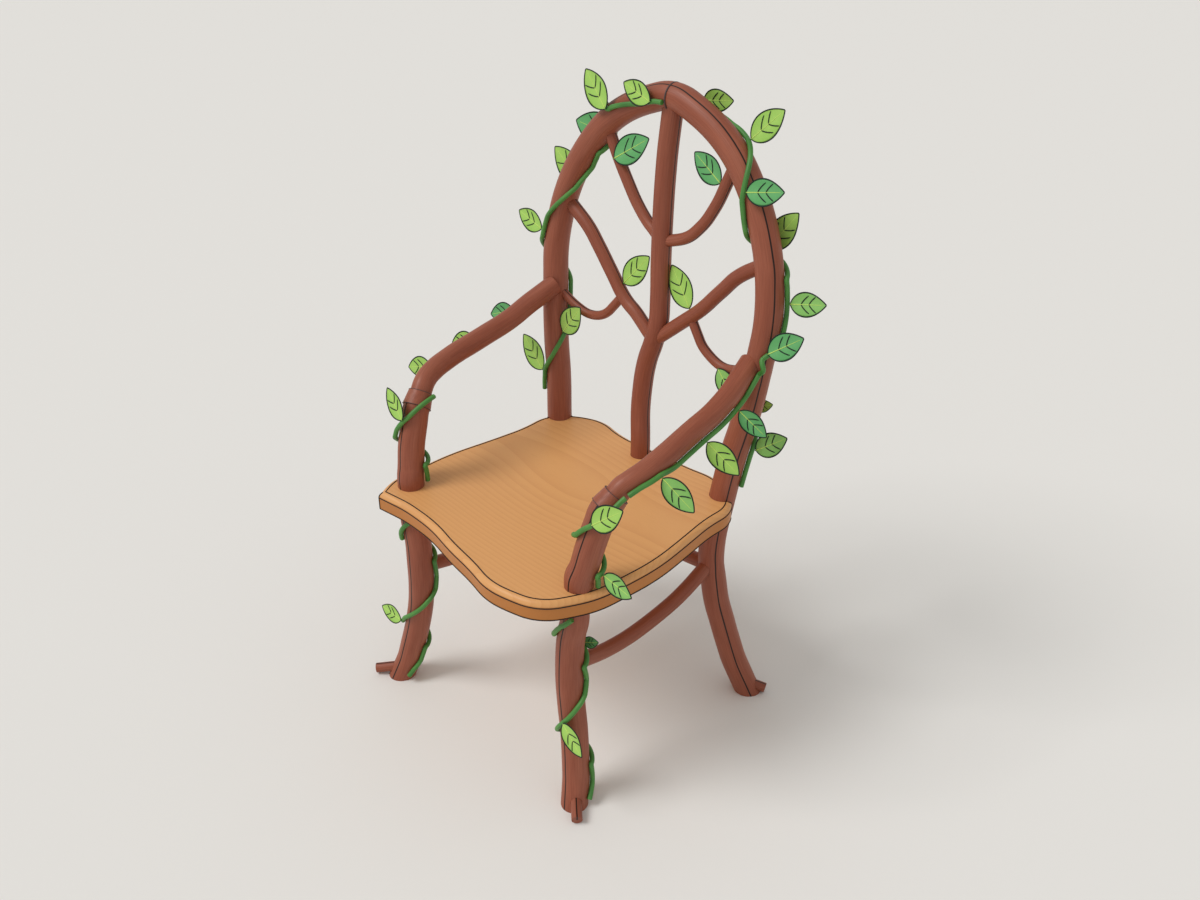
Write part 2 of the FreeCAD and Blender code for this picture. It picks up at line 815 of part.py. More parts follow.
def addStretchers(chair, legs, posts):
    inset = postDiameter / 2 - socketDepth
    for name in sides:
        start = legs[name].atHeight(sideStretcherFrontHeight)
        end = posts[name].atHeight(sideStretcherRearHeight)
        points = between(start, end, stretcherShares, sideStretcherSag, inset, inset)
        stretcher = Branch(points, stretcherDiameter, -up)
        chair.join("side_stretcher_" + name, stretcher, "front_leg_" + name, "back_post_" + name, socketDepth)
    ends = [post.atHeight(rearStretcherHeight) for post in posts.values()]
    points = between(ends[0], ends[1], rearStretcherShares, rearStretcherSag, inset, inset)
    rear = Branch(points, stretcherDiameter, -up)
    chair.join("rear_stretcher", rear, "back_post_left", "back_post_right", socketDepth)


# A wooden peg let into a leg near the floor, drooping outward like a root
def addRootPeg(chair, node, leg, side, facing, reach, angle):
    start = leg.atHeight(rootPegHeight)
    turn = math.radians(angle)
    tip = leg.atHeight(rootPegTipHeight) + vec(side * math.cos(turn), facing * math.sin(turn), 0) * reach
    start = start + unit(tip - start) * (leg.radius - socketDepth)
    peg = Branch([start, tip], rootPegDiameter, -up)
    chair.add("root_pegs", peg.tube())
    chair.carve(node, peg.socket(True, socketDepth))


# Main branches from the stem to the arch, twigs above them and looping twigs below them
def archBranches(chair, stem, posts):
    branches = {}
    for name, post in posts.items():
        fork = archBranch(
            stem.atHeight(seatHeight + forkHeight),
            stemDiameter,
            post,
            forkEndHeight,
            forkShares[name],
            forkSags[name],
            branchDiameter,
        )
        twig = archBranch(
            stem.atHeight(seatHeight + twigStartHeight),
            stemDiameter,
            post,
            twigEndHeight,
            twigShares[name],
            twigSags[name],
            upperTwigDiameter,
        )
        loopStart = fork.atShare(loopForkShares[name])[0]
        shares = loopShares[name]
        loop = archBranch(loopStart, branchDiameter, post, loopEndHeight, shares, loopSag, lowerTwigDiameter)
        postNode = "back_post_" + name
        chair.join("main_branch_" + name, fork, "back_stem", postNode, branchSocketDepth)
        chair.join("upper_twig_" + name, twig, "back_stem", postNode, branchSocketDepth)
        chair.join("lower_twig_" + name, loop, "main_branch_" + name, postNode, branchSocketDepth)
        chair.carve("arm_rail_" + name, loop.socket(False, branchSocketDepth))
        branches["main_branch_" + name] = fork
        branches["upper_twig_" + name] = twig
        branches["lower_twig_" + name] = loop
    return branches


def vineBranches(chair, posts, legs):
    vines = {
        "vine_arch_left": vineOn(posts["left"], -1, archLeftShares),
        "vine_arch_right": vineOn(posts["right"], 1, archRightShares),
        "vine_post_right": vineOn(posts["right"], 1, postRightShares),
        "vine_arm_left": armVine(-1, posts["left"], collarRadius, armLeftShares),
        "vine_arm_right": armVine(1, posts["right"], armDiameter / 2, armRightShares),
        "vine_arm_post_right": armVine(1, posts["right"], collarRadius, armPostRightShares),
        "vine_leg_left": vineOn(legs["left"], -1, legLeftShares),
        "vine_leg_right": vineOn(legs["right"], 1, legRightShares),
    }
    for node, vine in vines.items():
        chair.add(node, vine.tube())
    return vines


# Leaves, grouped by what carries them and by shade
def addLeaves(chair, carriers):
    pattern = leafShape()
    for carrier, share, angle, size, place, lean, turn, shade in leafPlaceShares:
        leaf = leafOn(carriers[carrier], share, angle, size, place, lean, turn, pattern)
        chair.add("leaves_" + carrier + "_" + shade, leaf)


# The feet end flat on the floor
def addFloor(chair):
    wide = seatHalfWidth * 4
    deep = seatHalfDepth * 4
    ground = Part.makeBox(wide, deep, seatHeight, vec(-wide / 2, -deep / 2, -seatHeight))
    for name in sides:
        chair.carve("back_post_" + name, ground)
        chair.carve("front_leg_" + name, ground)


def build():
    chair = Assembly()
    posts = {name: backPost(side) for name, side in sides.items()}
    legs = {name: frontLeg(side) for name, side in sides.items()}
    joints = [armRearHeight, forkEndHeight, twigEndHeight]
    postMarks = [sideStretcherRearHeight, seatHeight] + [seatHeight + height for height in joints]
    for name in sides:
        posts[name].setMarks(postMarkShares, postMarks)
        legs[name].setMarks(legMarkShares, [sideStretcherFrontHeight])
    rails = {name: armRail(side, posts[name]) for name, side in sides.items()}
    stem = stemBranch()
    chair.add("seat_board", seatSlab())
    for name, side in sides.items():
        addBackPost(chair, name, side, posts[name], rails[name])
        addFrontPost(chair, name, side, legs[name], armPost(side))
        addArmRail(chair, name, side, rails[name])
        addRootPeg(chair, "front_leg_" + name, legs[name], side, -1, frontPegReach, frontPegAngle)
        addRootPeg(chair, "back_post_" + name, posts[name], side, 1, rearPegReach, rearPegAngle)
    addStretchers(chair, legs, posts)
    addStemAndCrown(chair, stem)
    carriers = archBranches(chair, stem, posts)
    carriers.update(vineBranches(chair, posts, legs))
    for name in sides:
        carriers["back_post_" + name] = posts[name]
        carriers["arm_rail_" + name] = rails[name]
    addLeaves(chair, carriers)
    addFloor(chair)
    return chair


def main():
    os.makedirs("parts", exist_ok=True)
    chair = build()
    for node in chair.pieces:
        shape = chair.shape(node)
        shape.exportStep("parts/" + node + ".step")
        print(node, len(shape.Solids), round(shape.Volume), shape.isValid())


main()
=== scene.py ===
import json
import math
import random

import bmesh
import bpy
import numpy as np
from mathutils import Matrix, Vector
from mathutils.bvhtree import BVHTree


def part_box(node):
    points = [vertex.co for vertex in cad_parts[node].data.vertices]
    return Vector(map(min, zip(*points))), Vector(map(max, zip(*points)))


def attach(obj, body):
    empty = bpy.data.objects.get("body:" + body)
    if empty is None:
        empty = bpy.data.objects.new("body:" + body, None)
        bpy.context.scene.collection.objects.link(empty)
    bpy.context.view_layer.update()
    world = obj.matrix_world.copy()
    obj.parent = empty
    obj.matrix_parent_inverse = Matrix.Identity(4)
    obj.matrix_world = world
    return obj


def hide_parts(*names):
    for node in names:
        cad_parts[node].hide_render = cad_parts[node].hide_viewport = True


# Rustic armchair of bent poles with a slab seat and leafy vines: its looks, in metres,
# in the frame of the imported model. The front faces -Y and the floor is z = 0.
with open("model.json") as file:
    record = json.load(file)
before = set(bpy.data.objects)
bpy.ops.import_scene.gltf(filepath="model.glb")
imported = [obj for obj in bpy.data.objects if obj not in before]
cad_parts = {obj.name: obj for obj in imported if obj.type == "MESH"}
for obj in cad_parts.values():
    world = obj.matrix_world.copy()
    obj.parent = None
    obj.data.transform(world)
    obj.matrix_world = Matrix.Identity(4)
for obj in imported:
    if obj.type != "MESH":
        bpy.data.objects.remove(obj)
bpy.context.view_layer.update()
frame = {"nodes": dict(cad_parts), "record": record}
nodes = frame["nodes"]
mm = 0.001
random.seed(7)
print("frame loaded:", len(nodes), "nodes")

cameraSet = {
    "place": (1.399, -1.347, 1.694),
    "azimuth": 44.3,  # degrees, 0 looks along +Y
    "elevation": 30.8,
    "focalPixels": 1236.4,
    "imageWidth": 1200,
    "sensorWidth": 36.0,
}


def makeCamera():
    azimuth = math.radians(cameraSet["azimuth"])
    elevation = math.radians(cameraSet["elevation"])
    flat = math.cos(elevation)
    heading = Vector((-math.sin(azimuth) * flat, math.cos(azimuth) * flat, -math.sin(elevation)))
    data = bpy.data.cameras.new("camera")
    data.sensor_width = cameraSet["sensorWidth"]
    data.lens = cameraSet["focalPixels"] * cameraSet["sensorWidth"] / cameraSet["imageWidth"]
    camera = bpy.data.objects.new("camera", data)
    camera.location = cameraSet["place"]
    camera.rotation_euler = heading.to_track_quat("-Z", "Y").to_euler()
    bpy.context.scene.collection.objects.link(camera)
    bpy.context.scene.camera = camera


makeCamera()
print("camera placed")


# Small helpers for materials
def linear(hexColour):
    channels = [int(hexColour[place:place + 2], 16) / 255 for place in (1, 3, 5)]
    return [c / 12.92 if c <= 0.04045 else ((c + 0.055) / 1.055) ** 2.4 for c in channels] + [1]


def addNode(tree, kind, inputs=None, **settings):
    node = tree.nodes.new(kind)
    for name, value in settings.items():
        setattr(node, name, value)
    for name, value in (inputs or {}).items():
        if isinstance(value, bpy.types.NodeSocket):
            tree.links.new(value, node.inputs[name])
        else:
            node.inputs[name].default_value = value
    return node


def startMaterial(name, sockets):
    material = bpy.data.materials.new(name)
    material.use_nodes = True
    tree = material.node_tree
    tree.nodes.clear()
    shader = addNode(tree, "ShaderNodeBsdfPrincipled", sockets)
    addNode(tree, "ShaderNodeOutputMaterial", {"Surface": shader.outputs["BSDF"]})
    return material, tree, shader


# Peeled hazel pole, stained red brown and brushed with satin varnish: long fibres that follow each
# bend, cloudy stain, and one dark drying check along the pole
poleWoodSet = {
    "fibreWidth": 1.4,  # mm, drawn coarser than real fibres so that they show
    "fibreLength": 55.0,
    "cloudWidth": 26.0,
    "cloudLength": 190.0,
    "fibreDarkness": 0.42,
    "checkWander": 4.0,  # mm, how far the check strays to both sides together
    "checkColour": "#140A07",
    "roughness": (0.4, 0.56),
}


def poleWood(name, darkHex, midHex, lightHex, checkWidth):
    fibre = 1 / (poleWoodSet["fibreWidth"] * mm)
    fibreAlong = 1 / (poleWoodSet["fibreLength"] * mm)
    cloud = 1 / (poleWoodSet["cloudWidth"] * mm)
    cloudAlong = 1 / (poleWoodSet["cloudLength"] * mm)
    material, tree, shader = startMaterial(name, {
        "IOR": 1.5,
        "Specular IOR Level": 0.3,
        "Coat Weight": 0.06,
        "Coat Roughness": 0.3,
    })
    place = addNode(tree, "ShaderNodeAttribute", attribute_name="polePlace").outputs["Vector"]
    fibreSpace = addNode(tree, "ShaderNodeMapping", {
        "Vector": place, "Scale": (fibre, fibre, fibreAlong),
    })
    fibres = addNode(tree, "ShaderNodeTexNoise", {
        "Vector": fibreSpace.outputs["Vector"], "Scale": 1.0, "Detail": 4.0, "Roughness": 0.6,
    })
    cloudSpace = addNode(tree, "ShaderNodeMapping", {
        "Vector": place, "Scale": (cloud, cloud, cloudAlong),
    })
    clouds = addNode(tree, "ShaderNodeTexNoise", {
        "Vector": cloudSpace.outputs["Vector"], "Scale": 1.0, "Detail": 3.0, "Roughness": 0.5,
    })
    fibreShare = addNode(tree, "ShaderNodeMapRange", {
        "Value": fibres.outputs["Fac"], "From Min": 0.32, "From Max": 0.68,
    })
    cloudShare = addNode(tree, "ShaderNodeMapRange", {
        "Value": clouds.outputs["Fac"], "From Min": 0.3, "From Max": 0.7,
    })
    stainedAndShaded = addNode(tree, "ShaderNodeMixRGB", {
        "Fac": cloudShare.outputs["Result"], "Color1": linear(midHex), "Color2": linear(lightHex),
    })
    darkShare = addNode(tree, "ShaderNodeMath", {
        0: fibreShare.outputs["Result"], 1: poleWoodSet["fibreDarkness"],
    }, operation="MULTIPLY")
    grained = addNode(tree, "ShaderNodeMixRGB", {
        "Fac": darkShare.outputs["Value"], "Color1": stainedAndShaded.outputs["Color"], "Color2": linear(darkHex),
    })
    # The check: a thin line at the pole's own +X side that wanders a little
    axes = addNode(tree, "ShaderNodeSeparateXYZ", {"Vector": place})
    wanderRange = poleWoodSet["checkWander"] * mm
    wander = addNode(tree, "ShaderNodeMath", {
        0: clouds.outputs["Fac"], 1: wanderRange, 2: -wanderRange / 2,
    }, operation="MULTIPLY_ADD")
    aside = addNode(tree, "ShaderNodeMath", {
        0: axes.outputs["Y"], 1: wander.outputs["Value"],
    }, operation="ADD")
    distance = addNode(tree, "ShaderNodeMath", {0: aside.outputs["Value"]}, operation="ABSOLUTE")
    near = addNode(tree, "ShaderNodeMapRange", {
        "Value": distance.outputs["Value"],
        "From Min": checkWidth * 0.3 * mm, "From Max": checkWidth * 0.7 * mm,
        "To Min": 1.0, "To Max": 0.0,
    })
    facing = addNode(tree, "ShaderNodeMath", {
        0: axes.outputs["X"], 1: 0.0,
    }, operation="GREATER_THAN")
    check = addNode(tree, "ShaderNodeMath", {
        0: near.outputs["Result"], 1: facing.outputs["Value"],
    }, operation="MULTIPLY")
    finished = addNode(tree, "ShaderNodeMixRGB", {
        "Fac": check.outputs["Value"], "Color1": grained.outputs["Color"],
        "Color2": linear(poleWoodSet["checkColour"]),
    })
    tree.links.new(finished.outputs["Color"], shader.inputs["Base Color"])
    smooth, rough = poleWoodSet["roughness"]
    gloss = addNode(tree, "ShaderNodeMapRange", {
        "Value": fibres.outputs["Fac"], "From Min": 0.3, "From Max": 0.7,
        "To Min": smooth, "To Max": rough,
    })
    tree.links.new(gloss.outputs["Result"], shader.inputs["Roughness"])
    height = addNode(tree, "ShaderNodeMath", {
        0: check.outputs["Value"], 1: -3.0, 2: fibres.outputs["Fac"],
    }, operation="MULTIPLY_ADD")
    bump = addNode(tree, "ShaderNodeBump", {
        "Height": height.outputs["Value"], "Strength": 0.35, "Distance": 0.25 * mm,
    })
    tree.links.new(bump.outputs["Normal"], shader.inputs["Normal"])
    return material


# Planed pine slab, honey stained, under satin varnish: growth rings cut lengthwise, fine pores
slabWoodSet = {
    "pithBelow": 190.0,  # mm, how deep under the top face the tree's heart lay
    "pithBeside": 60.0,
    "ringWidth": 7.5,
    "poreWidth": 0.9,
    "poreLength": 38.0,
    "earlyColour": "#DFA468",
    "lateColour": "#D89B60",
    "poreColour": "#C68B52",
    # painted shade colour for the upright sides of the slab
    "paintedSideShade": "#B87231",
    "swayScale": 2.2,  # how often the rings wander, per metre
    "sway": 40.0,  # mm
    "lateSharpness": 2.2,
}


def slabWood(name, topHeight):
    material, tree, shader = startMaterial(name, {
        "IOR": 1.5,
        "Specular IOR Level": 0.3,
        "Coat Weight": 0.05,
        "Coat Roughness": 0.3,
    })
    place = addNode(tree, "ShaderNodeTexCoord").outputs["Object"]
    sway = addNode(tree, "ShaderNodeTexNoise", {
        "Vector": place, "Scale": slabWoodSet["swayScale"], "Detail": 1.0,
    })
    centred = addNode(tree, "ShaderNodeVectorMath", {
        0: sway.outputs["Color"], 1: (slabWoodSet["sway"] * mm,) * 3, 2: place,
    }, operation="MULTIPLY_ADD")
    # The grain runs from side to side, so the rings are round in Y and Z
    heart = (0, slabWoodSet["pithBeside"] * mm, topHeight - slabWoodSet["pithBelow"] * mm)
    fromHeart = addNode(tree, "ShaderNodeVectorMath", {
        0: centred.outputs["Vector"], 1: heart,
    }, operation="SUBTRACT")
    across = addNode(tree, "ShaderNodeVectorMath", {
        0: fromHeart.outputs["Vector"], 1: (0.06, 1, 1),
    }, operation="MULTIPLY")
    radius = addNode(tree, "ShaderNodeVectorMath", {0: across.outputs["Vector"]}, operation="LENGTH")
    turns = addNode(tree, "ShaderNodeMath", {
        0: radius.outputs["Value"], 1: 1 / (slabWoodSet["ringWidth"] * mm),
    }, operation="MULTIPLY")
    ring = addNode(tree, "ShaderNodeMath", {0: turns.outputs["Value"]}, operation="FRACT")
    late = addNode(tree, "ShaderNodeMath", {
        0: ring.outputs["Value"], 1: slabWoodSet["lateSharpness"],
    }, operation="POWER")
    poreAcross = 1 / (slabWoodSet["poreWidth"] * mm)
    poreSpace = addNode(tree, "ShaderNodeMapping", {
        "Vector": place, "Scale": (1 / (slabWoodSet["poreLength"] * mm), poreAcross, poreAcross),
    })
    pores = addNode(tree, "ShaderNodeTexNoise", {
        "Vector": poreSpace.outputs["Vector"], "Scale": 1.0, "Detail": 3.0, "Roughness": 0.6,
    })
    poreShare = addNode(tree, "ShaderNodeMapRange", {
        "Value": pores.outputs["Fac"], "From Min": 0.55, "From Max": 0.8, "To Max": 0.5,
    })
    rings = addNode(tree, "ShaderNodeMixRGB", {
        "Fac": late.outputs["Value"], "Color1": linear(slabWoodSet["earlyColour"]),
        "Color2": linear(slabWoodSet["lateColour"]),
    })
    finished = addNode(tree, "ShaderNodeMixRGB", {
        "Fac": poreShare.outputs["Result"], "Color1": rings.outputs["Color"],
        "Color2": linear(slabWoodSet["poreColour"]),
    })
    # Painted shade: the sawn upright sides are drawn darker than the flat faces, as if lit less from
    # above
    outward = addNode(tree, "ShaderNodeTexCoord").outputs["Normal"]
    normal = addNode(tree, "ShaderNodeSeparateXYZ", {"Vector": outward})
    upright = addNode(tree, "ShaderNodeMath", {0: normal.outputs["Z"]}, operation="ABSOLUTE")
    edge = addNode(tree, "ShaderNodeMapRange", {
        "Value": upright.outputs["Value"], "From Min": 0.1, "From Max": 0.3,
        "To Min": 0.9, "To Max": 0.0,
    })
    stainedAndShaded = addNode(tree, "ShaderNodeMixRGB", {
        "Fac": edge.outputs["Result"], "Color1": finished.outputs["Color"],
        "Color2": linear(slabWoodSet["paintedSideShade"]),
    })
    tree.links.new(stainedAndShaded.outputs["Color"], shader.inputs["Base Color"])
    gloss = addNode(tree, "ShaderNodeMapRange", {
        "Value": pores.outputs["Fac"], "From Min": 0.3, "From Max": 0.7,
        "To Min": 0.38, "To Max": 0.5,
    })
    tree.links.new(gloss.outputs["Result"], shader.inputs["Roughness"])
    bump = addNode(tree, "ShaderNodeBump", {
        "Height": pores.outputs["Fac"], "Strength": 0.2, "Distance": 0.12 * mm,
    })
    tree.links.new(bump.outputs["Normal"], shader.inputs["Normal"])
    return material


# Turned beech dowel, bare: short flecks, no gloss
def dowelWood(name):
    material, tree, shader = startMaterial(name, {"IOR": 1.5, "Roughness": 0.6})
    place = addNode(tree, "ShaderNodeTexCoord").outputs["Object"]
    flecks = addNode(tree, "ShaderNodeTexNoise", {
        "Vector": place, "Scale": 1 / (1.2 * mm), "Detail": 2.0,
    })
    colour = addNode(tree, "ShaderNodeMixRGB", {
        "Fac": flecks.outputs["Fac"], "Color1": linear("#D8B98C"), "Color2": linear("#B9946A"),
    })
    tree.links.new(colour.outputs["Color"], shader.inputs["Base Color"])
    return material


# Zinc plated steel screw: bright, with the faint grain of rolled wire
def screwSteel(name):
    material, tree, shader = startMaterial(name, {"Metallic": 1.0})
    place = addNode(tree, "ShaderNodeTexCoord").outputs["Object"]
    grain = addNode(tree, "ShaderNodeTexNoise", {
        "Vector": place, "Scale": 1 / (0.5 * mm), "Detail": 2.0,
    })
    colour = addNode(tree, "ShaderNodeMixRGB", {
        "Fac": grain.outputs["Fac"], "Color1": linear("#C4C4C0"), "Color2": linear("#A2A29E"),
    })
    tree.links.new(colour.outputs["Color"], shader.inputs["Base Color"])
    gloss = addNode(tree, "ShaderNodeMapRange", {
        "Value": grain.outputs["Fac"], "To Min": 0.25, "To Max": 0.45,
    })
    tree.links.new(gloss.outputs["Result"], shader.inputs["Roughness"])
    return material


# Moulded polyethylene vine stem over wire: waxy, with long ridges and paler new growth
vineSet = {
    "ridgeWidth": 1.1,  # mm
    "ridgeLength": 30.0,
    "growthLength": 60.0,
    "dark": "#33702C",
    "light": "#5A9A45",
}


def vinePlastic(name):
    material, tree, shader = startMaterial(name, {"IOR": 1.46, "Roughness": 0.48})
    place = addNode(tree, "ShaderNodeAttribute", attribute_name="polePlace").outputs["Vector"]
    ridge = 1 / (vineSet["ridgeWidth"] * mm)
    ridgeSpace = addNode(tree, "ShaderNodeMapping", {
        "Vector": place, "Scale": (ridge, ridge, 1 / (vineSet["ridgeLength"] * mm)),
    })
    ridges = addNode(tree, "ShaderNodeTexNoise", {
        "Vector": ridgeSpace.outputs["Vector"], "Scale": 1.0, "Detail": 3.0,
    })
    growth = addNode(tree, "ShaderNodeTexNoise", {
        "Vector": place, "Scale": 1 / (vineSet["growthLength"] * mm), "Detail": 1.0,
    })
    share = addNode(tree, "ShaderNodeMath", {
        0: ridges.outputs["Fac"], 1: 0.7, 2: growth.outputs["Fac"],
    }, operation="MULTIPLY_ADD")
    spread = addNode(tree, "ShaderNodeMapRange", {
        "Value": share.outputs["Value"], "From Min": 0.55, "From Max": 1.15,
    })
    colour = addNode(tree, "ShaderNodeMixRGB", {
        "Fac": spread.outputs["Result"],
        "Color1": linear(vineSet["dark"]), "Color2": linear(vineSet["light"]),
    })
    tree.links.new(colour.outputs["Color"], shader.inputs["Base Color"])
    bump = addNode(tree, "ShaderNodeBump", {
        "Height": ridges.outputs["Fac"], "Strength": 0.5, "Distance": 0.3 * mm,
    })
    tree.links.new(bump.outputs["Normal"], shader.inputs["Normal"])
    return material


# Moulded polyethylene leaf: a satin skin with the mould's fine pebble grain, paler at the midrib
leafSkinSet = {
    "pebbleWidth": 1.1,  # mm, drawn coarser than the mould's own grain so that it shows
    "mottleWidth": 14.0,
    "paleReach": 16.0,
    "roughness": (0.5, 0.64),
}


def leafPlastic(name, bladeHex, paleHex):
    material, tree, shader = startMaterial(name, {"IOR": 1.51, "Specular IOR Level": 0.4})
    place = addNode(tree, "ShaderNodeAttribute", attribute_name="leafPlace").outputs["Vector"]
    axes = addNode(tree, "ShaderNodeSeparateXYZ", {"Vector": place})
    mottle = addNode(tree, "ShaderNodeTexNoise", {
        "Vector": place, "Scale": 1 / (leafSkinSet["mottleWidth"] * mm), "Detail": 3.0,
    })
    aside = addNode(tree, "ShaderNodeMath", {0: axes.outputs["Y"]}, operation="ABSOLUTE")
    pale = addNode(tree, "ShaderNodeMapRange", {
        "Value": aside.outputs["Value"], "From Min": 0.0, "From Max": leafSkinSet["paleReach"] * mm,
        "To Min": 0.75, "To Max": 0.0,
    })
    paleShare = addNode(tree, "ShaderNodeMath", {
        0: pale.outputs["Result"], 1: mottle.outputs["Fac"],
    }, operation="MULTIPLY")
    colour = addNode(tree, "ShaderNodeMixRGB", {
        "Fac": paleShare.outputs["Value"], "Color1": linear(bladeHex), "Color2": linear(paleHex),
    })
    tree.links.new(colour.outputs["Color"], shader.inputs["Base Color"])
    pebbles = addNode(tree, "ShaderNodeTexVoronoi", {
        "Vector": place, "Scale": 1 / (leafSkinSet["pebbleWidth"] * mm),
    })
    smooth, rough = leafSkinSet["roughness"]
    gloss = addNode(tree, "ShaderNodeMapRange", {
        "Value": mottle.outputs["Fac"], "From Min": 0.3, "From Max": 0.7,
        "To Min": smooth, "To Max": rough,
    })
    tree.links.new(gloss.outputs["Result"], shader.inputs["Roughness"])
    bump = addNode(tree, "ShaderNodeBump", {
        "Height": pebbles.outputs["Distance"], "Strength": 0.15, "Distance": 0.12 * mm,
    })
    tree.links.new(bump.outputs["Normal"], shader.inputs["Normal"])
    return material


# Printed ink on the leaf's veins and rim, and the dark filler in the scribed lines: matte, uneven
inkSet = {"blotWidth": 3.0, "roughness": 0.7}  # mm


def darkInk(name, firstHex, secondHex):
    material, tree, shader = startMaterial(name, {"IOR": 1.45, "Roughness": inkSet["roughness"]})
    place = addNode(tree, "ShaderNodeTexCoord").outputs["Object"]
    blots = addNode(tree, "ShaderNodeTexNoise", {
        "Vector": place, "Scale": 1 / (inkSet["blotWidth"] * mm), "Detail": 2.0,
    })
    colour = addNode(tree, "ShaderNodeMixRGB", {
        "Fac": blots.outputs["Fac"], "Color1": linear(firstHex), "Color2": linear(secondHex),
    })
    tree.links.new(colour.outputs["Color"], shader.inputs["Base Color"])
    return material


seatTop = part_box("seat_board")[1].z
materials = {
    "post_wood": poleWood("peeledHazelPost", "#6B3322", "#955039", "#A66149", 2.6),
    "branch_wood": poleWood("peeledHazelBranch", "#67301F", "#914D37", "#A05C44", 2.2),
    "stretcher_wood": poleWood("peeledHazelStretcher", "#67301F", "#925039", "#A35F48", 0.0),
    "seat_wood": slabWood("planedPineSlab", seatTop),
    "dowel_wood": dowelWood("turnedBeechDowel"),
    "plug_wood": poleWood("turnedPlug", "#5E2F22", "#7C4634", "#8A5240", 0.0),
    "screw_steel": screwSteel("zincPlatedSteel"),
    "vine": vinePlastic("mouldedVineStem"),
    "leaf_light": leafPlastic("mouldedLeafLight", "#9CCB5C", "#B9DF74"),
    "leaf_mid": leafPlastic("mouldedLeafMid", "#83BE62", "#A0D27A"),
    "leaf_deep": leafPlastic("mouldedLeafDeep", "#5BA763", "#7BBF7C"),
}
inkDark = darkInk("printedVeinInk", "#0B1A17", "#142620")
inkPale = darkInk("printedMidribInk", "#CFE77C", "#BBDD68")
lineFiller = darkInk("darkLineFiller", "#1C0E07", "#2A170D")
ringFiller = darkInk("crownJointGlue", "#4A3B3A", "#5C4A48")
print("materials made:", len(materials) + 4)


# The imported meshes, read as skins. Vertices that share a place are joined in the copy.
def skinOf(node):
    skin = bmesh.new()
    skin.from_mesh(nodes[node].data)
    bmesh.ops.remove_doubles(skin, verts=skin.verts, dist=0.01 * mm)
    skin.normal_update()
    return skin


def islandsOf(skin):
    left = set(skin.verts)
    islands = []
    while left:
        edge = [left.pop()]
        island = list(edge)
        while edge:
            fresh = [e.other_vert(v) for v in edge for e in v.link_edges]
            edge = [v for v in dict.fromkeys(fresh) if v in left]
            left.difference_update(edge)
            island += edge
        islands.append(island)
    return islands


# Flat faces, the largest first: area, centre and outward direction
def flatFaces(faces):
    groups = {}
    for face in faces:
        key = tuple(round(c, 3) for c in face.normal) + (round(face.normal.dot(face.verts[0].co), 4),)
        groups.setdefault(key, []).append(face)
    found = []
    for group in groups.values():
        area = sum(face.calc_area() for face in group)
        centre = sum((face.calc_center_median() * face.calc_area() for face in group), Vector()) / area
        found.append((area, centre, group[0].normal.copy()))
    return sorted(found, key=lambda row: -row[0])


# How the axis of a round member is found: rays from the outside in, all round
axisSet = {
    "rays": 24,
    "rayReach": 1.6,  # times the radius
    "strays": (0.5, 0.25),  # a hit further off the radius than this share is no wall, in two rounds
    "leastHits": 6,
    "evenings": 4,
}


# Takes the small jumps that sockets cause out of a row of points
def evened(points):
    for again in range(axisSet["evenings"]):
        middle = [(a + b * 2 + c) / 4 for a, b, c in zip(points, points[1:], points[2:])]
        points = [points[0]] + middle + [points[-1]]
    return points


# Walks along a round member from one end and gives the points of its axis
def walkAxis(tree, start, direction, radius, step):
    points = [start]
    here = start + direction * step
    reach = radius * axisSet["rayReach"]
    while True:
        for stray in axisSet["strays"]:
            across = direction.orthogonal().normalized()
            other = direction.cross(across)
            rows = []
            misses = []
            for index in range(axisSet["rays"]):
                angle = index * math.pi / (axisSet["rays"] / 2)
                ray = across * math.cos(angle) + other * math.sin(angle)
                hit = tree.ray_cast(here + ray * reach, -ray, reach)[0]
                if hit is None:
                    continue
                miss = (hit - here).dot(ray) - radius
                if abs(miss) < radius * stray:
                    rows.append((math.cos(angle), math.sin(angle)))
                    misses.append(miss)
            if len(rows) < axisSet["leastHits"]:
                return evened(points)
            shift = np.linalg.lstsq(np.array(rows), np.array(misses), rcond=None)[0]
            here = here + across * float(shift[0]) + other * float(shift[1])
        direction = (here - points[-1]).normalized()
        points.append(here.copy())
        here = here + direction * step


# Gives each vertex its place in its member as if that were straight: across, across, along
def placeOnMember(node, diameter, facing, step):
    skin = skinOf(node)
    radius = diameter / 2 * mm
    tree = BVHTree.FromBMesh(skin)
    centres, tangents, sides, lengths = [], [], [], []
    for island in islandsOf(skin):
        faces = list(dict.fromkeys(face for vert in island for face in vert.link_faces))
        area, start, outward = flatFaces(faces)[0]
        axis = walkAxis(tree, start, -outward, radius, step * mm)
        side = Vector(facing)
        length = 0
        for index, point in enumerate(axis):
            before = axis[max(index - 1, 0)]
            tangent = (axis[min(index + 1, len(axis) - 1)] - before).normalized()
            side = (side - tangent * side.dot(tangent)).normalized()
            length += (point - before).length
            centres.append(point)
            tangents.append(tangent)
            sides.append(side.copy())
            lengths.append(length)
    skin.free()
    mesh = nodes[node].data
    spots = np.zeros(len(mesh.vertices) * 3)
    mesh.vertices.foreach_get("co", spots)
    spots = spots.reshape(-1, 3)
    centres = np.array(centres)
    nearest = np.concatenate([
        ((part[:, None, :] - centres[None, :, :]) ** 2).sum(2).argmin(1)
        for part in np.array_split(spots, max(1, len(spots) // 1000))
    ])
    tangents = np.array(tangents)[nearest]
    sides = np.array(sides)[nearest]
    offset = spots - centres[nearest]
    others = np.cross(tangents, sides)
    rows = np.stack([
        (offset * sides).sum(1),
        (offset * others).sum(1),
        np.array(lengths)[nearest] + (offset * tangents).sum(1),
    ], 1)
    attribute = mesh.attributes.new("polePlace", "FLOAT_VECTOR", "POINT")
    attribute.data.foreach_set("vector", rows.astype(np.float32).ravel())
    return [Vector(point) for point in centres]


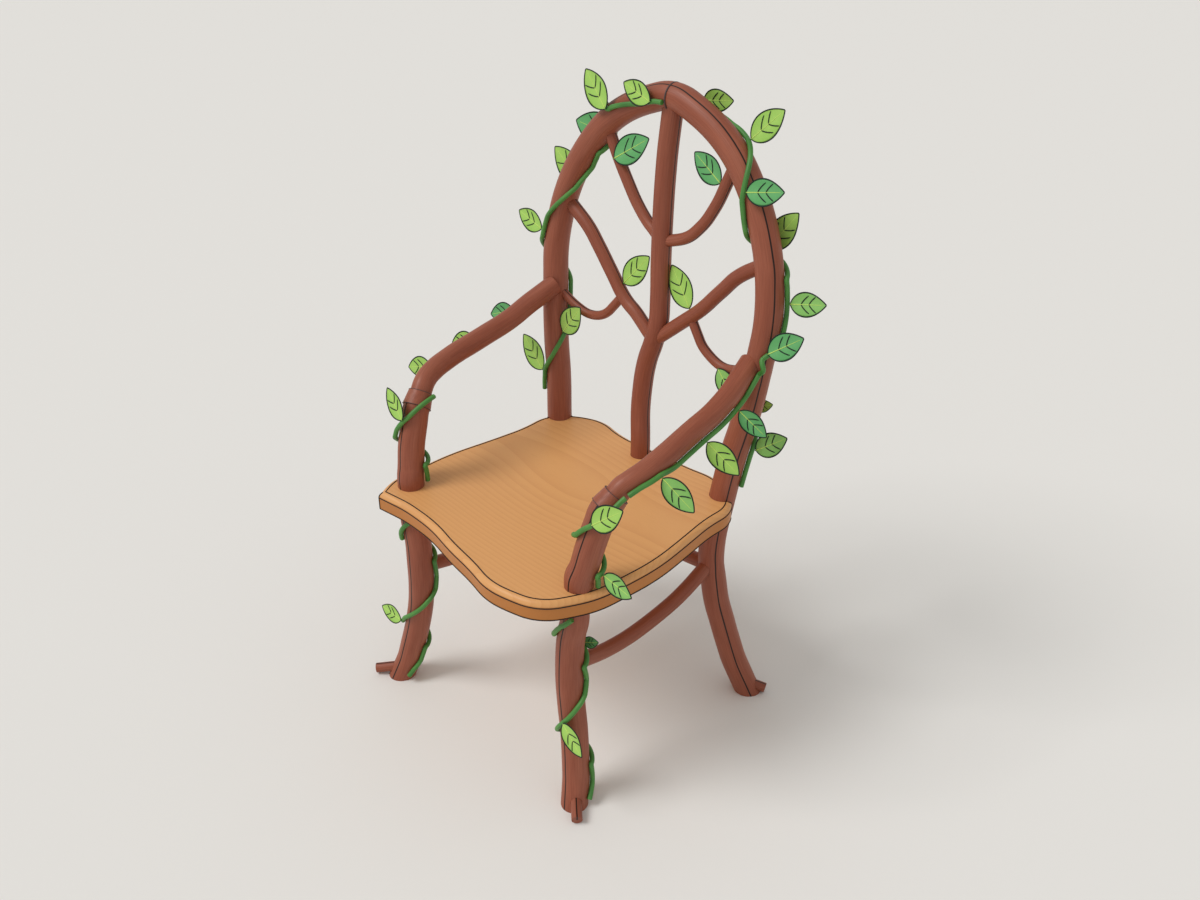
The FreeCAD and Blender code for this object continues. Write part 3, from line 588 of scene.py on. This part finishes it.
# Round members: diameter in mm, and where the drying check faces at the end the walk starts from
memberSet = {
    "back_post_left": (50, (-0.84, -0.54, 0)),
    "back_post_right": (50, (0.84, -0.54, 0)),
    "front_leg_left": (50, (0, -1, 0)),
    "front_leg_right": (50, (0, -1, 0)),
    "arm_post_left": (50, (0, -1, 0)),
    "arm_post_right": (50, (0, -1, 0)),
    "arm_rail_left": (40, (0, 0, -1)),
    "arm_rail_right": (40, (0, 0, -1)),
    "back_stem": (38, (1, 0, 0)),
    "main_branch_left": (26, (1, 0, 0)),
    "main_branch_right": (26, (1, 0, 0)),
    "upper_twig_left": (22, (1, 0, 0)),
    "upper_twig_right": (22, (1, 0, 0)),
    "lower_twig_left": (18, (1, 0, 0)),
    "lower_twig_right": (18, (1, 0, 0)),
    "side_stretcher_left": (28, (0, 0, -1)),
    "side_stretcher_right": (28, (0, 0, -1)),
    "rear_stretcher": (28, (0, 0, -1)),
    "root_pegs": (20, (0, 0, 1)),
    "arm_collar_left": (46, (0, 0, -1)),
    "arm_collar_right": (46, (0, 0, -1)),
    "screw_plugs": (10, (0, 0, -1)),
}
memberStep = 8.0
vineSize = {"diameter": 9, "step": 1.6}

axes = {}
for node, (diameter, facing) in memberSet.items():
    axes[node] = placeOnMember(node, diameter, facing, min(memberStep, diameter / 4))
for node in sorted(nodes):
    if node.startswith("vine_"):
        axes[node] = placeOnMember(node, vineSize["diameter"], (0, 0, 1), vineSize["step"])
print("grain placed:", {node: len(axis) for node, axis in axes.items()})


def paintNodes():
    slots = {row["node"]: row["material_slot"] for row in frame["record"]["subparts"]}
    for node, thing in nodes.items():
        thing.data.materials.clear()
        thing.data.materials.append(materials[slots[node]])


paintNodes()
print("nodes painted")


def newPiece(name, bm, things):
    mesh = bpy.data.meshes.new(name)
    bm.to_mesh(mesh)
    bm.free()
    for material in things:
        mesh.materials.append(material)
    piece = bpy.data.objects.new(name, mesh)
    bpy.context.scene.collection.objects.link(piece)
    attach(piece, "root")
    return piece


# A closed round strand through the points, its radius given at each of them
def addStrand(bm, points, radii, sides, index=0, closed=False):
    rings = []
    count = len(points)
    facing = None
    for place, point in enumerate(points):
        before = points[place - 1] if closed or place else points[0]
        after = points[(place + 1) % count] if closed or place < count - 1 else points[-1]
        tangent = (after - before).normalized()
        if facing is None:
            facing = tangent.orthogonal()
        facing = (facing - tangent * facing.dot(tangent)).normalized()
        other = tangent.cross(facing)
        ring = []
        for step in range(sides):
            angle = 2 * math.pi * step / sides
            outward = facing * math.cos(angle) + other * math.sin(angle)
            ring.append(bm.verts.new(point + outward * radii[place]))
        rings.append(ring)
    pairs = list(zip(rings, rings[1:]))
    if closed:
        # The last ring meets the first where its own turn brings it nearest
        last = rings[-1]
        shift = min(range(sides), key=lambda s: (last[s].co - rings[0][0].co).length)
        pairs.append((last, [rings[0][(step - shift) % sides] for step in range(sides)]))
    for ring, after in pairs:
        for step in range(sides):
            following = (step + 1) % sides
            face = bm.faces.new((ring[step], ring[following], after[following], after[step]))
            face.smooth = True
            face.material_index = index
    if not closed:
        bm.faces.new(list(reversed(rings[0]))).material_index = index
        bm.faces.new(rings[-1]).material_index = index


# The vine of the arch runs on to the arm: one short free bend joins the ends of the two
bridgeSet = {"steps": 24, "pull": 0.9, "outward": 12.0, "sides": 20}


def makeVineBridge():
    runs = [axes["vine_arch_right"], axes["vine_arm_right"]]
    ends = [(first, second) for first in (0, -1) for second in (0, -1)]
    pick = min(ends, key=lambda pair: (runs[0][pair[0]] - runs[1][pair[1]]).length)
    points, headings = [], []
    for run, end in zip(runs, pick):
        tip, before = (run[0], run[6]) if end == 0 else (run[-1], run[-7])
        points.append(tip)
        headings.append((tip - before).normalized())
    start, finish = points
    reach = (finish - start).length * bridgeSet["pull"]
    path = []
    for step in range(bridgeSet["steps"] + 1):
        t = step / bridgeSet["steps"]
        bend = start * (1 - t) ** 3 + (start + headings[0] * reach / 2) * 3 * t * (1 - t) ** 2
        bend += (finish + headings[1] * reach / 2) * 3 * t * t * (1 - t) + finish * t ** 3
        path.append(bend + Vector((1, -0.4, 0)) * bridgeSet["outward"] * mm * math.sin(math.pi * t) ** 2)
    bm = bmesh.new()
    place = bm.verts.layers.float_vector.new("polePlace")
    addStrand(bm, path, [vineSize["diameter"] / 2 * mm] * len(path), bridgeSet["sides"])
    for vert in bm.verts:
        vert[place] = vert.co
    bmesh.ops.recalc_face_normals(bm, faces=bm.faces)
    newPiece("vine_bridge", bm, [materials["vine"]])
    return reach


print("vine bridge made:", round(makeVineBridge(), 3), "m")


# Leaves. Each packed leaf gives the base, the direction, the front and the size of a printed one.
leafSet = {
    "stalkShare": 0.02,  # bare stalk, share of the whole length
    "basePower": 0.72,
    "tipPower": 0.92,
    "thickness": 0.9,  # mm
    "fullLength": 70.0,  # a shorter leaf has finer lines
    "rimRadius": 1.1,
    "midribRadius": 1.05,
    "veinRadius": 1.1,
    "stalkRadius": 1.5,
    "veinStartShares": (0.3, 0.52),
    "veinReachShares": (0.3, 0.26),
    "veinAngle": 48.0,
    "foldRise": 2.2,
    "foldPower": 1.4,
    "tipDroop": 3.0,
    "droopFromShare": 0.35,
    "waveShare": 0.25,  # of the fold, along the edges
    "waveTurns": 9,
    "rows": 26,
    "columns": 6,  # on each side of the midrib
}


def leafWidthAt(share):
    base, tip = leafSet["basePower"], leafSet["tipPower"]
    peak = base / (base + tip)
    top = peak ** base * (1 - peak) ** tip
    return max(share, 0) ** base * max(1 - share, 0) ** tip / top


# Measures one packed leaf: base, direction, front, length and half width
def measureLeaf(island, carrierTree):
    spots = np.array([vert.co[:] for vert in island])
    middle = spots.mean(0)
    values, vectors = np.linalg.eigh(np.cov((spots - middle).T))
    forward, across, front = Vector(vectors[:, 2]), Vector(vectors[:, 1]), Vector(vectors[:, 0])
    if front.y > 0:
        front = -front
    reach = (spots - middle) @ np.array(forward)
    first, last = Vector(middle) + forward * reach.min(), Vector(middle) + forward * reach.max()
    if carrierTree.find_nearest(first)[3] > carrierTree.find_nearest(last)[3]:
        first, last, forward = last, first, -forward
    across = front.cross(forward)
    half = np.abs((spots - middle) @ np.array(across)).max()
    return first, forward, across, front, (last - first).length, half


def addLeaf(bm, place, base, forward, across, front, length, half):
    stalk = length * leafSet["stalkShare"]
    blade = length - stalk
    fold = leafSet["foldRise"] * mm * random.uniform(0.5, 1.2)
    droop = leafSet["tipDroop"] * mm * random.uniform(-0.4, 1.0)
    twist = random.uniform(-0.05, 0.05)
    thick = leafSet["thickness"] * mm / 2
    fine = min(1, length / (leafSet["fullLength"] * mm)) * mm

    def spot(share, side, lift):
        aside = side * half * leafWidthAt(share)
        rise = fold * (abs(aside) / half) ** leafSet["foldPower"]
        rise -= droop * max(share - leafSet["droopFromShare"], 0) ** 2
        rise += twist * aside * share
        rise += leafSet["waveShare"] * fold * math.sin(share * leafSet["waveTurns"]) * side * side
        return base + forward * (stalk + blade * share) + across * aside + front * (rise + lift)

    rows, columns = leafSet["rows"], leafSet["columns"]
    shares = [0.5 - 0.5 * math.cos(math.pi * row / rows) for row in range(rows + 1)]
    sheets = []
    for lift in (thick, -thick):
        sheet = []
        for share in shares:
            count = 1 if share in (shares[0], shares[-1]) else 2 * columns + 1
            row = []
            for column in range(count):
                side = 0 if count == 1 else column / columns - 1
                vert = bm.verts.new(spot(share, side, lift * (1 - abs(side) ** 4)))
                row.append(vert)
                vert[place] = (stalk + blade * share, side * half * leafWidthAt(share), 0)
            sheet.append(row)
        sheets.append(sheet)
    upper, lower = sheets
    for sheet, flip in ((upper, False), (lower, True)):
        for row, after in zip(sheet, sheet[1:]):
            if len(row) == 1 or len(after) == 1:
                tip, strip = (row[0], after) if len(row) == 1 else (after[0], row)
                for left, right in zip(strip, strip[1:]):
                    corners = (tip, left, right) if (len(row) == 1) != flip else (tip, right, left)
                    bm.faces.new(corners).smooth = True
                continue
            for column in range(len(row) - 1):
                corners = [row[column], after[column], after[column + 1], row[column + 1]]
                if flip:
                    corners.reverse()
                bm.faces.new(corners).smooth = True
    outline = {vert for sheet in sheets for row in sheet for vert in (row[0], row[-1])}
    bmesh.ops.remove_doubles(bm, verts=list(outline), dist=1e-7)
    # Dark rim, then on both faces a pale midrib and dark veins, and the stalk
    rimRadius = leafSet["rimRadius"] * fine
    veinRadius = leafSet["veinRadius"] * fine
    for side in (-1, 1):
        rim = [spot(share, side, 0) for share in shares]
        radii = [rimRadius * (0.35 if end in (0, rows) else 1) for end in range(rows + 1)]
        addStrand(bm, rim, radii, 6, 1)
    ribShares = [0.9 * step / 14 for step in range(15)]
    taper = [leafSet["midribRadius"] * fine * (1 - 0.75 * share) for share in ribShares]
    slope = math.radians(leafSet["veinAngle"])
    for lift in (thick, -thick):
        addStrand(bm, [spot(share, 0, lift) for share in ribShares], taper, 6, 2)
        for start, reach in zip(leafSet["veinStartShares"], leafSet["veinReachShares"]):
            for side in (-1, 1):
                path = []
                for step in range(7):
                    run = reach * step / 6
                    share = start + run * math.cos(slope) * (0.85 + 0.3 * step / 6)
                    aside = run * math.sin(slope) * blade * (1.1 - 0.15 * step / 6)
                    path.append(spot(share, side * aside / (half * leafWidthAt(share)), lift))
                radii = [veinRadius * (0.5 if step in (0, 6) else 1) for step in range(7)]
                addStrand(bm, path, radii, 6, 1)
    stem = [base + forward * (stalk + blade * 0.1) * step / 5 for step in range(6)]
    radii = [leafSet["stalkRadius"] * mm * (1 - 0.09 * step) for step in range(6)]
    addStrand(bm, stem, radii, 10, 3)


def makeLeaves():
    count = 0
    for node in sorted(nodes):
        if not node.startswith("leaves_"):
            continue
        carrier, shade = node[len("leaves_"):].rsplit("_", 1)
        carrierSkin = skinOf(carrier)
        carrierTree = BVHTree.FromBMesh(carrierSkin)
        carrierSkin.free()
        skin = skinOf(node)
        bm = bmesh.new()
        place = bm.verts.layers.float_vector.new("leafPlace")
        for island in islandsOf(skin):
            addLeaf(bm, place, *measureLeaf(island, carrierTree))
            count += 1
        skin.free()
        bmesh.ops.recalc_face_normals(bm, faces=bm.faces)
        blade = materials["leaf_" + shade]
        things = [blade, inkDark, inkPale, materials["vine"]]
        piece = newPiece("printed_" + node, bm, things)
        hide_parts(node)
    return count


print("leaves made:", makeLeaves())


# Scribed lines round the seat: along the top face's edge, under the round-over and at the bottom
seatLineSet = {"radius": 1.15, "sides": 8, "spacing": 3.0}


def chainEdges(edges):
    links = {}
    for edge in edges:
        a, b = edge.verts
        links.setdefault(a, []).append(b)
        links.setdefault(b, []).append(a)
    chains = []
    while links:
        start = next((vert for vert, ends in links.items() if len(ends) == 1), next(iter(links)))
        chain = [start]
        while links.get(chain[-1]):
            here = chain[-1]
            after = links[here].pop()
            links[after].remove(here)
            chain.append(after)
        for vert in [vert for vert, ends in links.items() if not ends]:
            del links[vert]
        chains.append([vert.co.copy() for vert in chain])
    return chains


def thinOut(points, least):
    kept = [points[0]]
    for point in points[1:-1]:
        if (point - kept[-1]).length >= least:
            kept.append(point)
    return kept + [points[-1]]


def makeSeatLines():
    skin = skinOf("seat_board")
    bottom = min(vert.co.z for vert in skin.verts)
    top = max(vert.co.z for vert in skin.verts)
    topEdges, sideEdges, cornerEdges = [], [], []
    for edge in skin.edges:
        if len(edge.link_faces) != 2:
            continue
        low, high = sorted((face.normal.z for face in edge.link_faces))
        if high > 0.9999 and 0.5 < low < 0.9999 and min(v.co.z for v in edge.verts) > top - 0.05 * mm:
            topEdges.append(edge)
        elif abs(low) < 0.004 and 0.004 < high < 0.4:
            sideEdges.append(edge)
        if low > -0.5 and high < 0.98 and edge.calc_face_angle(0) > math.radians(20):
            run = (edge.verts[0].co - edge.verts[1].co).normalized()
            if abs(run.z) > 0.3:
                cornerEdges.append(edge)
    bm = bmesh.new()
    radius = seatLineSet["radius"] * mm
    lines = [chain for chain in chainEdges(topEdges) + chainEdges(sideEdges) if len(chain) > 12]
    drops = []
    for chain in [chain for chain in lines if chain[0].z < top - 2 * mm]:
        drops.append([Vector((point.x, point.y, bottom)) for point in chain])
    total = 0
    corners = chainEdges(cornerEdges)
    for chain in lines + drops + corners:
        closed = (chain[0] - chain[-1]).length < 0.1 * mm
        points = thinOut(chain, seatLineSet["spacing"] * mm)
        if closed:
            points.pop()
        addStrand(bm, points, [radius] * len(points), seatLineSet["sides"], 0, closed)
        total += 1
    skin.free()
    bmesh.ops.recalc_face_normals(bm, faces=bm.faces)
    newPiece("seat_scribed_lines", bm, [lineFiller])
    return total, [len(chain) for chain in corners]


print("seat lines made:", makeSeatLines())


# Dark joint lines: a ring round the crown, where the posts meet, and one at each end of each collar
jointLineSet = {"crownRadius": 24.6, "crownLine": 1.5, "collarLine": 0.6, "steps": 72}


def addRing(bm, centre, normal, radius, thickness):
    across = normal.orthogonal().normalized()
    other = normal.cross(across)
    points = []
    for step in range(jointLineSet["steps"]):
        angle = 2 * math.pi * step / jointLineSet["steps"]
        points.append(centre + (across * math.cos(angle) + other * math.sin(angle)) * radius)
    addStrand(bm, points, [thickness] * len(points), 6, 0, True)


def makeJointLines():
    skin = skinOf("back_post_left")
    caps = [row for row in flatFaces(skin.faces)[:6] if row[1].z > seatTop * 2]
    area, centre, normal = caps[0]
    rim = [vert.co for vert in skin.verts if abs((vert.co - centre).dot(normal)) < 0.1 * mm]
    summit = max(rim, key=lambda spot: spot.z)
    upward = Vector((0, 0, 1)) - normal * normal.z
    centre = summit - upward.normalized() * memberSet["back_post_left"][0] / 2 * mm
    skin.free()
    bm = bmesh.new()
    addRing(bm, centre, normal, jointLineSet["crownRadius"] * mm, jointLineSet["crownLine"] * mm)
    bmesh.ops.recalc_face_normals(bm, faces=bm.faces)
    newPiece("crown_joint_line", bm, [ringFiller])
    for side in ("left", "right"):
        skin = skinOf("arm_collar_" + side)
        bm = bmesh.new()
        for area, centre, normal in flatFaces(skin.faces)[:2]:
            rim = [vert.co for vert in skin.verts if abs((vert.co - centre).dot(normal)) < 0.1 * mm]
            radius = max((spot - centre).length for spot in rim)
            addRing(bm, centre, normal, radius, jointLineSet["collarLine"] * mm)
        skin.free()
        bmesh.ops.recalc_face_normals(bm, faces=bm.faces)
        newPiece("collar_edge_lines_" + side, bm, [ringFiller])


makeJointLines()
print("joint lines made")


# Pale floor, one broad soft key light and an even sky
stageSet = {
    "floorSize": 60.0,
    "floorColour": "#E9E7E3",
    "skyColour": "#F4F3F1",
    "skyStrength": 0.62,
    "keyFrom": (-1.4, -2.0, 3.0),
    "keyStrength": 1.5,
    "keySoftness": 26.0,  # degrees across
}


def makeStage():
    bpy.ops.mesh.primitive_plane_add(size=stageSet["floorSize"], location=(0, 0, -0.2 * mm))
    floor = bpy.context.object
    floor.name = "floor"
    material, tree, shader = startMaterial("paleFloor", {
        "Base Color": linear(stageSet["floorColour"]), "Roughness": 0.85, "Specular IOR Level": 0.2,
    })
    floor.data.materials.append(material)
    world = bpy.data.worlds.new("sky")
    bpy.context.scene.world = world
    world.use_nodes = True
    tree = world.node_tree
    tree.nodes.clear()
    rays = addNode(tree, "ShaderNodeLightPath")
    skyColour = linear(stageSet["skyColour"])
    soft = addNode(tree, "ShaderNodeBackground", {
        "Color": skyColour, "Strength": stageSet["skyStrength"],
    })
    plain = addNode(tree, "ShaderNodeBackground", {"Color": skyColour, "Strength": 1.0})
    mixed = addNode(tree, "ShaderNodeMixShader", {
        "Fac": rays.outputs["Is Camera Ray"],
        1: soft.outputs["Background"], 2: plain.outputs["Background"],
    })
    addNode(tree, "ShaderNodeOutputWorld", {"Surface": mixed.outputs["Shader"]})
    data = bpy.data.lights.new("key", "SUN")
    data.energy = stageSet["keyStrength"]
    data.angle = math.radians(stageSet["keySoftness"])
    key = bpy.data.objects.new("key", data)
    key.location = stageSet["keyFrom"]
    key.rotation_euler = Vector(stageSet["keyFrom"]).to_track_quat("Z", "Y").to_euler()
    bpy.context.scene.collection.objects.link(key)


makeStage()
bpy.context.scene.view_settings.view_transform = "Standard"
print("stage set")
